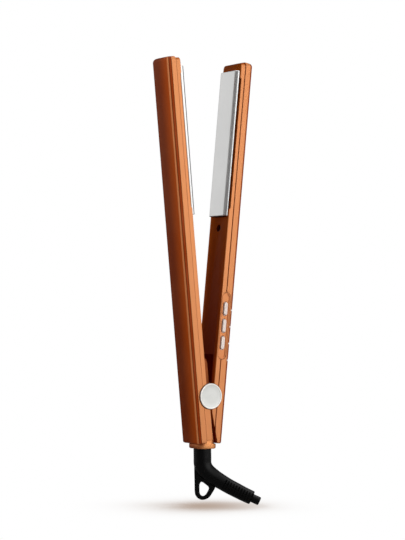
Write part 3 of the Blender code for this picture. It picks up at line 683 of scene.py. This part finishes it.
def hinge_cap(name, way):
    """A round cap, a profile turned about the hinge axis: a thin foot, and on it a disc with a rounded rim
    and a shallow dish."""
    profile = [(0.0, CAP_NEAR), (CAP_RADIUS, CAP_NEAR), (CAP_RADIUS, CAP_FOOT - 0.05)]
    profile += [(CAP_RADIUS - 0.05, CAP_FOOT), (CAP_FACE, CAP_FOOT), (CAP_FACE, CAP_FAR - CAP_RIM)]
    turn = np.radians([22.0, 45.0, 68.0, 90.0])
    rim = CAP_FACE - CAP_RIM + CAP_RIM * np.cos(turn)
    profile += list(zip(rim, CAP_FAR - CAP_RIM + CAP_RIM * np.sin(turn)))
    profile += [(CAP_FACE - 0.85, CAP_FAR), (CAP_FACE - 1.0, CAP_FAR - 0.07), (CAP_FACE - 1.1, CAP_FAR - 0.2)]
    profile += [(CAP_FACE - 1.3, CAP_FAR - 0.25), (CAP_FACE * 0.5, CAP_FAR - 0.2), (0.0, CAP_FAR - 0.18)]
    r, y = np.array(profile).T
    turn = np.linspace(0, 2 * math.pi, 96, endpoint=False)
    x = r[:, None] * np.cos(turn)
    z = r[:, None] * np.sin(turn)
    grid = np.stack(np.broadcast_arrays(x, way * y[:, None], z), -1) * MM + PIVOT
    skin(name + "_disc", [(grid, True)], "fixed_arm", [name], cap_silver, 50.0)


def button(name, at):
    """A button: a slot outline carried from its flange to its crown, drawn in along a round edge."""
    node = name + "_button"
    crown = np.radians(np.linspace(0, 90, 8))
    rise = np.concatenate([[-2.6, -2.0, -2.0, BUTTON_EDGE], BUTTON_EDGE + BUTTON_CROWN * np.sin(crown)[1:]])
    flange = [BUTTON_FLANGE, BUTTON_FLANGE, 0.0, 0.0]
    grow = np.concatenate([flange, -BUTTON_ROUND * (1 - np.cos(crown))[1:]])
    outline = stadium(BUTTON_LONG, BUTTON_WIDE, 20)
    way = stadium(1.0, 1.0 - 1e-6, 20) * 2.0
    rows = []
    for up, out in zip(rise, grow):
        ring = outline + way * out * np.array([0.62, 1.0])
        rows.append(on_arm(1, PILL_DEPTH + ring[:, 0], -HALF - up, at + ring[:, 1]))
    grid = capped(np.stack(rows))
    skin(node + "_cap", [(grid, True)], node + "_key", [node], button_silver, 40.0)


def lens(number):
    """An indicator lens: a small dome turned about the line that leans half-way between side and back."""
    z = LENS_TOP - number * LENS_PITCH
    u = back_depth(z) - 0.6
    y = -HALF + 0.8
    t = np.radians(np.linspace(0, 90, 7))
    out = np.concatenate([[-1.4], -0.05 + LENS_DOME * np.sin(t)])
    r = np.concatenate([[LENS_RADIUS], LENS_RADIUS * np.cos(t)])
    turn = np.linspace(0, 2 * math.pi, 28, endpoint=False)
    along = (out / math.sqrt(2))[:, None]
    cross = r[:, None] * np.cos(turn) / math.sqrt(2)
    up = r[:, None] * np.sin(turn)
    grid = on_arm(1, u + along + cross, y - along + cross, z + up)
    node = "indicator_lens_%d" % (number + 1)
    skin(node + "_dome", [(capped(grid), True)], "moving_arm", [node], lens_white, 60.0)


def rounded_ring(cx, half_x, half_y, r, count=12):
    """A rectangle with round corners, as (x, y) points."""
    t = np.radians(np.linspace(0, 90, count))
    corner = np.stack([np.cos(t), np.sin(t)], -1) * r
    turns = []
    for sx, sy, k in ((1, 1, 0), (-1, 1, 1), (-1, -1, 2), (1, -1, 3)):
        c = math.cos(k * math.pi / 2)
        s = math.sin(k * math.pi / 2)
        bent = corner @ np.array([[c, s], [-s, c]])
        turns.append(bent + np.array([cx + sx * (half_x - r), sy * (half_y - r)]))
    return np.concatenate(turns)


def cord_collar():
    """The cord collar: rounded rectangles stacked from the flange's rolled lower edge up into the arm's tail,
    each with its height, how much smaller it is and how far it is shifted."""
    rows = []
    for t in np.radians(np.linspace(90, 0, 8)):
        rows.append((FLANGE_LOW + FLANGE_ROLL * (1 - math.sin(t)), FLANGE_ROLL * (1 - math.cos(t)), 0.0))
    rows += [(FLANGE_TOP - 0.35, 0.0, 0.0), (FLANGE_TOP - 0.08, 0.1, 0.0), (FLANGE_TOP, 0.35, 0.0)]
    rows += [(FLANGE_TOP + 0.02, 1.15, 0.4), (FLANGE_TOP + 0.25, 1.3, 0.5), (FLANGE_TOP + 7.9, 1.3, 0.5)]
    x = float(SWIVEL[0] - PIVOT[0]) / MM
    rings = []
    for z, less, shift in rows:
        size = (COLLAR_HALF_X - less, COLLAR_HALF_Y - less * 0.4, COLLAR_CORNER - less * 0.8)
        ring = rounded_ring(x + 0.3 - shift, *size)
        rings.append(np.column_stack([ring, np.full(len(ring), z)]) * MM + PIVOT)
    grid = capped(np.stack(rings))
    sheets = [(grid, True)]
    skin("cord_collar_ring", sheets, "fixed_arm", ["cord_collar"], copper_collar, 40.0)


BOOT_LINE = [(0.2, BOOT_TOP), (0.3, -46.0), (0.4, -50.7), (1.5, -54.0), (4.1, -57.3), (9.5, -61.4)]
BOOT_LINE += [(15.8, -65.3), (20.2, -67.9), (24.8, -70.3), (31.2, -73.6), (37.4, -76.5)]
BOOT_SLIM = [0.0, 0.0, 0.0, 0.05, 0.25, 0.65, 1.0, 1.1, 1.15, 1.3, 1.45]
SLOT_COUNT = 11
SLOT_HALF = 0.55
SLOT_FLOOR = CORD_RADIUS + 0.5
SLOT_WINDOW = (6.0, 43.0)


def cord_boot():
    """The bent boot: a round section carried along its line, slimmer towards the cord, with rows of slots
    where the section is cut flat on both faces, and a rolled end round the cord's bore. Gives back where the
    boot ends and which way it points there."""
    line = smooth_line(BOOT_LINE, 1200)
    step = np.hypot(*np.diff(line, axis=0).T)
    run = np.concatenate([[0.0], np.cumsum(step)])
    knots = [run[np.argmin(np.hypot(*(line - np.array(p)).T))] for p in BOOT_LINE]
    first = knots[6]
    marks = first + (run[-1] - first) * (0.04 + 0.92 * np.arange(SLOT_COUNT) / (SLOT_COUNT - 1))
    edges = np.concatenate([marks + k for k in (-SLOT_HALF - 0.04, -SLOT_HALF, SLOT_HALF, SLOT_HALF + 0.04)])
    last = run[-1] - BOOT_END
    stations = np.unique(np.concatenate([np.linspace(0, last, 110), edges[edges < last]]))
    angles = [np.linspace(0, 360, 73)[:-1]]
    for base in (0, 180):
        for sign in (-1, 1):
            for limit in SLOT_WINDOW:
                angles.append([base + sign * limit - 0.5, base + sign * limit + 0.5])
    turn = np.radians(np.unique(np.mod(np.concatenate(angles), 360.0)))
    x = np.interp(stations, run, line[:, 0])
    z = np.interp(stations, run, line[:, 1])
    tx = np.gradient(x, stations)
    tz = np.gradient(z, stations)
    size = np.hypot(tx, tz)
    nx, nz = -tz / size, tx / size
    r = BOOT_RADIUS - np.interp(stations, knots, BOOT_SLIM)
    across = r[:, None] * np.cos(turn)
    out = r[:, None] * np.sin(turn)
    near = np.abs(stations[:, None] - marks[None]).min(1) <= SLOT_HALF + 1e-6
    lift = np.abs(np.degrees(np.arcsin(np.abs(np.sin(turn)))))
    window = (lift >= SLOT_WINDOW[0]) & (lift <= SLOT_WINDOW[1])
    sunk = near[:, None] & window[None]
    across = np.where(sunk, np.sign(across) * np.minimum(np.abs(across), SLOT_FLOOR), across)
    px = x[:, None] + nx[:, None] * out
    pz = z[:, None] + nz[:, None] * out
    rows = [on_boot(px, across, pz)]
    ahead = np.array([tx[-1], tz[-1]]) / size[-1]
    rolled = [(0.25, r[-1] - 0.06), (0.48, r[-1] - 0.28), (BOOT_END, r[-1] - BOOT_END)]
    for forward, radius in rolled + [(BOOT_END, CORD_BORE), (-2.0, CORD_BORE)]:
        cx = x[-1] + ahead[0] * forward + nx[-1] * radius * np.sin(turn)
        cz = z[-1] + ahead[1] * forward + nz[-1] * radius * np.sin(turn)
        rows.append(on_boot(cx, radius * np.cos(turn), cz)[None])
    grid = capped(np.concatenate(rows))
    skin("cord_boot_sleeve", [(grid, True)], "swivel_boot", ["cord_boot"], rubber, 42.0)
    return np.array([x[-1], z[-1]]) + ahead * BOOT_END, ahead


LOOP_MIDDLE = np.array([0.8, -70.0])
LOOP_OUTER = [(-5.7, -46.5), (-5.6, -71.2), (-5.2, -74.2), (-3.4, -76.6), (-1.0, -77.9), (1.6, -77.9)]
LOOP_OUTER += [(4.2, -76.9), (6.0, -75.4), (9.8, -69.2), (10.5, -64.0), (2.0, -50.0), (-1.0, -46.5)]
LOOP_HOLE = [(-1.9, -66.6), (-1.9, -72.0), (-1.4, -73.8), (-0.3, -74.9), (1.0, -75.1), (2.7, -74.0)]
LOOP_HOLE += [(4.6, -70.8), (5.1, -69.2), (4.6, -67.9), (0.0, -64.4), (-1.1, -64.6)]


def reach(outline, turn, soften):
    """Distance of a closed outline from the loop's middle in each direction, softened round its corners."""
    p = np.asarray(outline + outline[:1], float) - LOOP_MIDDLE
    share = np.linspace(0, 1, 60, endpoint=False)[:, None]
    fine = np.concatenate([a + (b - a) * share for a, b in zip(p[:-1], p[1:])])
    angle = np.mod(np.arctan2(fine[:, 1], fine[:, 0]), 2 * math.pi)
    order = np.argsort(angle)
    far = np.hypot(*fine.T)
    r = np.interp(turn, angle[order], far[order], period=2 * math.pi)
    kernel = np.exp(-0.5 * (np.arange(-12, 13) / soften) ** 2)
    wide = np.concatenate([r[-12:], r, r[:12]])
    return np.convolve(wide, kernel / kernel.sum(), "valid")


def boot_loop():
    """The hanging loop: a band round its hole, whose section between hole and outline is a rounded square,
    the cosine and sine drawn towards their limits by a power."""
    turn = np.linspace(0, 2 * math.pi, 144, endpoint=False)
    inner = reach(LOOP_HOLE, turn, 2.2)
    outer = reach(LOOP_OUTER, turn, 2.0)
    around = np.linspace(0, 2 * math.pi, 28, endpoint=False)
    c = np.sign(np.cos(around)) * np.abs(np.cos(around)) ** 0.45
    s = np.sign(np.sin(around)) * np.abs(np.sin(around)) ** 0.45
    r = (inner + outer)[:, None] / 2 + (outer - inner)[:, None] / 2 * c
    x = LOOP_MIDDLE[0] + r * np.cos(turn)[:, None]
    z = LOOP_MIDDLE[1] + r * np.sin(turn)[:, None]
    grid = on_boot(x, LOOP_HALF * s[None], z)
    closed = np.concatenate([grid, grid[:1]])
    skin("cord_boot_loop", [(closed, True)], "swivel_boot", ["cord_boot"], rubber, 60.0)


def cord_stub(tip, ahead):
    """The short length of cord that shows: a round bar with an eased end."""
    along = np.concatenate([[-3.0, 0.0], CORD_SHOWN - np.array([0.9, 0.55, 0.25, 0.07, 0.0])])
    radius = CORD_RADIUS - np.array([0.0, 0.0, 0.0, 0.05, 0.2, 0.42, 0.75])
    turn = np.linspace(0, 2 * math.pi, 48, endpoint=False)
    normal = np.array([-ahead[1], ahead[0]])
    out = radius[:, None] * np.sin(turn)
    x = tip[0] + along[:, None] * ahead[0] + out * normal[0]
    z = tip[1] + along[:, None] * ahead[1] + out * normal[1]
    grid = capped(on_boot(x, radius[:, None] * np.cos(turn), z))
    skin("cord_stub_sheath", [(grid, True)], "swivel_boot", ["cord_stub"], sheath, 60.0)


def eased(node, body, finish):
    """A CAD solid with its facets joined into flat faces and its edges rounded."""
    bm = bmesh.new()
    bm.from_mesh(frame["nodes"][node].data)
    bmesh.ops.remove_doubles(bm, verts=bm.verts, dist=1e-6)
    bmesh.ops.dissolve_limit(bm, angle_limit=0.005, verts=bm.verts, edges=bm.edges)
    mesh = bpy.data.meshes.new(node + "_eased")
    bm.to_mesh(mesh)
    bm.free()
    for stale in [a.name for a in mesh.attributes if a.name == "custom_normal"]:
        mesh.attributes.remove(mesh.attributes[stale])
    obj = settle(mesh, node + "_eased", body, [node], finish, 30.0)
    bevel = obj.modifiers.new("edges", "BEVEL")
    bevel.width = CAD_EDGE * MM
    bevel.segments = 2
    bevel.limit_method = "ANGLE"
    bevel.angle_limit = math.radians(30.0)
    return obj


for side in (-1, 1):
    prefix = ARM_NAME[side]
    arm = prefix + "_arm"
    shells = [back_cover(side), eased(prefix + "_inner_frame", arm, copper_frame)]
    if side > 0:
        for shell in shells:
            cut_away(shell, pill_cutter())
    hot_plate(side)
    # The screw's near black steel is painted shade for its seat.
    eased(prefix + "_screw", arm, seat_shade_steel)
for name, way in (("hinge_cap_front", -1), ("hinge_cap_back", 1)):
    hinge_cap(name, way)
for k, name in enumerate(("power", "plus", "minus")):
    button(name, PILL_MID + (1 - k) * BUTTON_PITCH)
for number in range(4):
    lens(number)
cord_collar()
cord_from, cord_way = cord_boot()
boot_loop()
cord_stub(cord_from, cord_way)
# The hinge block's dark copper is painted shade.
eased("hinge_block", "fixed_arm", shaded_copper_block)
eased("button_bezel", "moving_arm", copper_trim)


def stage_sheet(name, finish, half):
    """A level square floor under the object."""
    mesh = bpy.data.meshes.new(name)
    corners = [(-half, -half, 0), (half, -half, 0), (half, half, 0), (-half, half, 0)]
    mesh.from_pydata(corners, [], [(0, 1, 2, 3)])
    obj = bpy.data.objects.new(name, mesh)
    obj.location = (0.0, 0.0, -FLOOR_DROP)
    mesh.materials.append(finish)
    bpy.context.scene.collection.objects.link(obj)


def floor_finish():
    """A white sweep: it shows as white with the object's soft contact shade, which fades away from the boot's
    axis, and lights the object only a little."""
    grey = (0.6, 0.6, 0.6, 1.0)
    f = Finish("floor_white", Base_Color=grey, Roughness=0.9, Specular_IOR_Level=0.0)
    near = f.node("ShaderNodeAmbientOcclusion", {"samples": 48}, {"Distance": SHADE_REACH}, "AO")
    x = f.axis("X") - float(SWIVEL[0])
    y = f.axis("Y") - float(SWIVEL[1])
    spread = ((x * x + y * y) * (-1.0 / SHADE_SPREAD ** 2)).math("EXPONENT")
    dusk = f.ramp(near, 0.985, 0.85) * spread
    shade = f.mix(dusk, (1.0, 1.0, 1.0, 1.0), colour("B9A79A"))
    glow = f.node("ShaderNodeEmission", {}, {"Color": shade, "Strength": 1.0})
    seen = f.node("ShaderNodeLightPath", {}, {}, "Is Camera Ray")
    both = f.node("ShaderNodeMixShader", {}, {0: seen, 1: Value(f, f.shader.outputs[0]), 2: glow})
    out = f.tree.nodes["Material Output"]
    f.tree.links.new(both.socket, out.inputs["Surface"])
    return f.material


def softbox(name, turn, height, distance, size, power):
    """A soft area light that faces the middle of the object from a direction about it."""
    lamp = bpy.data.lights.new(name, "AREA")
    lamp.shape = "RECTANGLE"
    lamp.size, lamp.size_y = size
    lamp.energy = power
    obj = bpy.data.objects.new(name, lamp)
    a = math.radians(turn)
    aim = Vector((0.0, 0.0, LIGHT_AIM))
    obj.location = Vector((math.sin(a) * distance, -math.cos(a) * distance, height))
    obj.rotation_euler = (aim - obj.location).to_track_quat("-Z", "Y").to_euler()
    obj.visible_glossy = False
    bpy.context.scene.collection.objects.link(obj)


def studio():
    """White surroundings to the eye; in reflections three bright panels, behind the left and before the right
    of the view and overhead, in a dim room; faint as a light."""
    world = bpy.data.worlds.new("studio")
    world.use_nodes = True
    bpy.context.scene.world = world
    g = Graph(world.node_tree)
    way = g.node("ShaderNodeTexCoord", {}, {}, "Generated")
    room = ROOM_LIGHT
    panels = [((-AHEAD[0], AHEAD[1], 0.0), PANEL_BEHIND), ((AHEAD[0], -AHEAD[1], 0.0), PANEL_BEFORE)]
    panels.append(((0.0, 0.0, 1.0), PANEL_ABOVE))
    for toward, level in panels:
        facing = g.node("ShaderNodeVectorMath", {"operation": "DOT_PRODUCT"}, {0: way, 1: toward}, "Value")
        room = g.ramp(facing, *PANEL_FADE, 0.0, level) + room
    eye = g.node("ShaderNodeLightPath", {}, {}, "Is Camera Ray")
    mirror = g.node("ShaderNodeLightPath", {}, {}, "Is Glossy Ray")
    through = g.node("ShaderNodeLightPath", {}, {}, "Is Transmission Ray")
    seen = eye.math("MAXIMUM", through)
    faint = WORLD_LIGHT * (1.0 - mirror) + room * mirror
    back = g.tree.nodes["Background"]
    g.join(back.inputs["Color"], (1.0, 1.0, 1.0, 1.0))
    g.join(back.inputs["Strength"], seen + faint * (1.0 - seen))


stage_sheet("floor", floor_finish(), FLOOR_HALF)
studio()
softbox("key_softbox", turn=18.0, height=0.25, distance=1.4, size=(1.4, 1.5), power=30.5)
softbox("left_strip", turn=-98.0, height=0.2, distance=1.2, size=(0.3, 1.2), power=4.3)

camera = bpy.data.objects.new("camera", bpy.data.cameras.new("camera"))
bpy.context.scene.collection.objects.link(camera)
middle = (IMAGE_WIDE / 2 - PIVOT_AT[0]) * PIXEL
rise = (HORIZON_AT - IMAGE_HIGH / 2) * PIXEL
eye_height = PIVOT[2] + (PIVOT_AT[1] - HORIZON_AT) * PIXEL
spot = PIVOT + RIGHT * middle
camera.location = (*(spot - AHEAD * VIEW_FROM)[:2], eye_height)
camera.rotation_euler = (math.pi / 2 + math.atan2(rise, VIEW_FROM), 0.0, -VIEW_TURN)
camera.data.sensor_width = SENSOR
camera.data.lens = SENSOR * VIEW_FROM / (PIXEL * IMAGE_HIGH)
bpy.context.scene.camera = camera
bpy.context.scene.view_settings.view_transform = "Standard"
